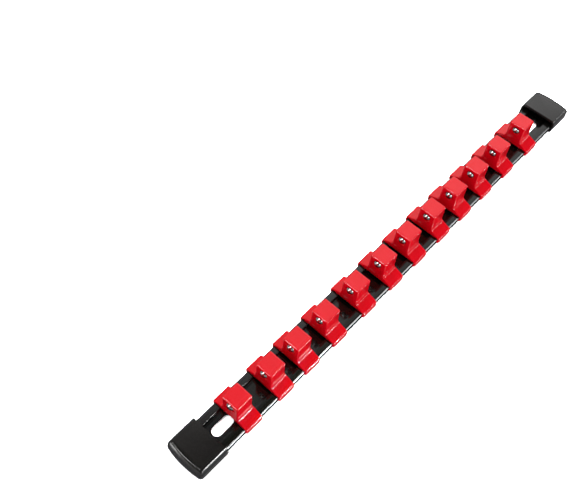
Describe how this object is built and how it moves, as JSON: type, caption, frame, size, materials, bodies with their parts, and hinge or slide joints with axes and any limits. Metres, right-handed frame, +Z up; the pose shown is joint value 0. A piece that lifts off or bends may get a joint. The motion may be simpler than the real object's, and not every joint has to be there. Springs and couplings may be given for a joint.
{
  "type": "socket rail",
  "caption": "Socket rail: black channel with end caps and slots, carrying red push-on clips that slide along it, each with a square drive post and a sprung steel ball.",
  "frame": {"origin": "on the bench, below the middle of the rail", "axes": "+X along the rail towards the far cap, +Z up, posts' balls face -X"},
  "size_m": [0.3882, 0.0286, 0.0243],
  "materials": {
    "rail_black": "extruded black ABS, satin gloss",
    "cap_black": "moulded soft black, low sheen",
    "clip_red": "moulded red, glossy",
    "ball_chrome": "polished bearing steel",
    "spring_steel": "drawn spring wire"
  },
  "bodies": {
    "rail_body": {"rail": "rail_black", "end_cap_near": "cap_black", "end_cap_far": "cap_black"},
    "clip_01_body": {"clip_01": "clip_red", "spring_01": "spring_steel"},
    "ball_01_body": {"ball_01": "ball_chrome"},
    "clip_02_body": {"clip_02": "clip_red", "spring_02": "spring_steel"},
    "ball_02_body": {"ball_02": "ball_chrome"},
    "clip_03_body": {"clip_03": "clip_red", "spring_03": "spring_steel"},
    "ball_03_body": {"ball_03": "ball_chrome"},
    "clip_04_body": {"clip_04": "clip_red", "spring_04": "spring_steel"},
    "ball_04_body": {"ball_04": "ball_chrome"},
    "clip_05_body": {"clip_05": "clip_red", "spring_05": "spring_steel"},
    "ball_05_body": {"ball_05": "ball_chrome"},
    "clip_06_body": {"clip_06": "clip_red", "spring_06": "spring_steel"},
    "ball_06_body": {"ball_06": "ball_chrome"},
    "clip_07_body": {"clip_07": "clip_red", "spring_07": "spring_steel"},
    "ball_07_body": {"ball_07": "ball_chrome"},
    "clip_08_body": {"clip_08": "clip_red", "spring_08": "spring_steel"},
    "ball_08_body": {"ball_08": "ball_chrome"},
    "clip_09_body": {"clip_09": "clip_red", "spring_09": "spring_steel"},
    "ball_09_body": {"ball_09": "ball_chrome"},
    "clip_10_body": {"clip_10": "clip_red", "spring_10": "spring_steel"},
    "ball_10_body": {"ball_10": "ball_chrome"},
    "clip_11_body": {"clip_11": "clip_red", "spring_11": "spring_steel"},
    "ball_11_body": {"ball_11": "ball_chrome"},
    "clip_12_body": {"clip_12": "clip_red", "spring_12": "spring_steel"},
    "ball_12_body": {"ball_12": "ball_chrome"}
  },
  "joints": [
    {"name": "clip_01_slide", "type": "slide", "parent": "rail_body", "child": "clip_01_body", "axis": [1, 0, 0], "range_m": [-0.0142, 0.0067]},
    {"name": "ball_01_press", "type": "slide", "parent": "clip_01_body", "child": "ball_01_body", "axis": [1, 0, 0], "range_m": [0, 0.0011], "stiffness_N_per_m": 3000, "springref_m": -0.0002, "deforming": ["spring_01"]},
    {"name": "clip_02_slide", "type": "slide", "parent": "rail_body", "child": "clip_02_body", "axis": [1, 0, 0], "range_m": [-0.0067, 0.0045]},
    {"name": "ball_02_press", "type": "slide", "parent": "clip_02_body", "child": "ball_02_body", "axis": [1, 0, 0], "range_m": [0, 0.0011], "stiffness_N_per_m": 3000, "springref_m": -0.0002, "deforming": ["spring_02"]},
    {"name": "clip_03_slide", "type": "slide", "parent": "rail_body", "child": "clip_03_body", "axis": [1, 0, 0], "range_m": [-0.0045, 0.0058]},
    {"name": "ball_03_press", "type": "slide", "parent": "clip_03_body", "child": "ball_03_body", "axis": [1, 0, 0], "range_m": [0, 0.0011], "stiffness_N_per_m": 3000, "springref_m": -0.0002, "deforming": ["spring_03"]},
    {"name": "clip_04_slide", "type": "slide", "parent": "rail_body", "child": "clip_04_body", "axis": [1, 0, 0], "range_m": [-0.0058, 0.0074]},
    {"name": "ball_04_press", "type": "slide", "parent": "clip_04_body", "child": "ball_04_body", "axis": [1, 0, 0], "range_m": [0, 0.0011], "stiffness_N_per_m": 3000, "springref_m": -0.0002, "deforming": ["spring_04"]},
    {"name": "clip_05_slide", "type": "slide", "parent": "rail_body", "child": "clip_05_body", "axis": [1, 0, 0], "range_m": [-0.0074, 0.0065]},
    {"name": "ball_05_press", "type": "slide", "parent": "clip_05_body", "child": "ball_05_body", "axis": [1, 0, 0], "range_m": [0, 0.0011], "stiffness_N_per_m": 3000, "springref_m": -0.0002, "deforming": ["spring_05"]},
    {"name": "clip_06_slide", "type": "slide", "parent": "rail_body", "child": "clip_06_body", "axis": [1, 0, 0], "range_m": [-0.0065, 0.0057]},
    {"name": "ball_06_press", "type": "slide", "parent": "clip_06_body", "child": "ball_06_body", "axis": [1, 0, 0], "range_m": [0, 0.0011], "stiffness_N_per_m": 3000, "springref_m": -0.0002, "deforming": ["spring_06"]},
    {"name": "clip_07_slide", "type": "slide", "parent": "rail_body", "child": "clip_07_body", "axis": [1, 0, 0], "range_m": [-0.0057, 0.0061]},
    {"name": "ball_07_press", "type": "slide", "parent": "clip_07_body", "child": "ball_07_body", "axis": [1, 0, 0], "range_m": [0, 0.0011], "stiffness_N_per_m": 3000, "springref_m": -0.0002, "deforming": ["spring_07"]},
    {"name": "clip_08_slide", "type": "slide", "parent": "rail_body", "child": "clip_08_body", "axis": [1, 0, 0], "range_m": [-0.0061, 0.0055]},
    {"name": "ball_08_press", "type": "slide", "parent": "clip_08_body", "child": "ball_08_body", "axis": [1, 0, 0], "range_m": [0, 0.0011], "stiffness_N_per_m": 3000, "springref_m": -0.0002, "deforming": ["spring_08"]},
    {"name": "clip_09_slide", "type": "slide", "parent": "rail_body", "child": "clip_09_body", "axis": [1, 0, 0], "range_m": [-0.0055, 0.0055]},
    {"name": "ball_09_press", "type": "slide", "parent": "clip_09_body", "child": "ball_09_body", "axis": [1, 0, 0], "range_m": [0, 0.0011], "stiffness_N_per_m": 3000, "springref_m": -0.0002, "deforming": ["spring_09"]},
    {"name": "clip_10_slide", "type": "slide", "parent": "rail_body", "child": "clip_10_body", "axis": [1, 0, 0], "range_m": [-0.0055, 0.0064]},
    {"name": "ball_10_press", "type": "slide", "parent": "clip_10_body", "child": "ball_10_body", "axis": [1, 0, 0], "range_m": [0, 0.0011], "stiffness_N_per_m": 3000, "springref_m": -0.0002, "deforming": ["spring_10"]},
    {"name": "clip_11_slide", "type": "slide", "parent": "rail_body", "child": "clip_11_body", "axis": [1, 0, 0], "range_m": [-0.0064, 0.0077]},
    {"name": "ball_11_press", "type": "slide", "parent": "clip_11_body", "child": "ball_11_body", "axis": [1, 0, 0], "range_m": [0, 0.0011], "stiffness_N_per_m": 3000, "springref_m": -0.0002, "deforming": ["spring_11"]},
    {"name": "clip_12_slide", "type": "slide", "parent": "rail_body", "child": "clip_12_body", "axis": [1, 0, 0], "range_m": [-0.0077, 0.0216]},
    {"name": "ball_12_press", "type": "slide", "parent": "clip_12_body", "child": "ball_12_body", "axis": [1, 0, 0], "range_m": [0, 0.0011], "stiffness_N_per_m": 3000, "springref_m": -0.0002, "deforming": ["spring_12"]}
  ]
}
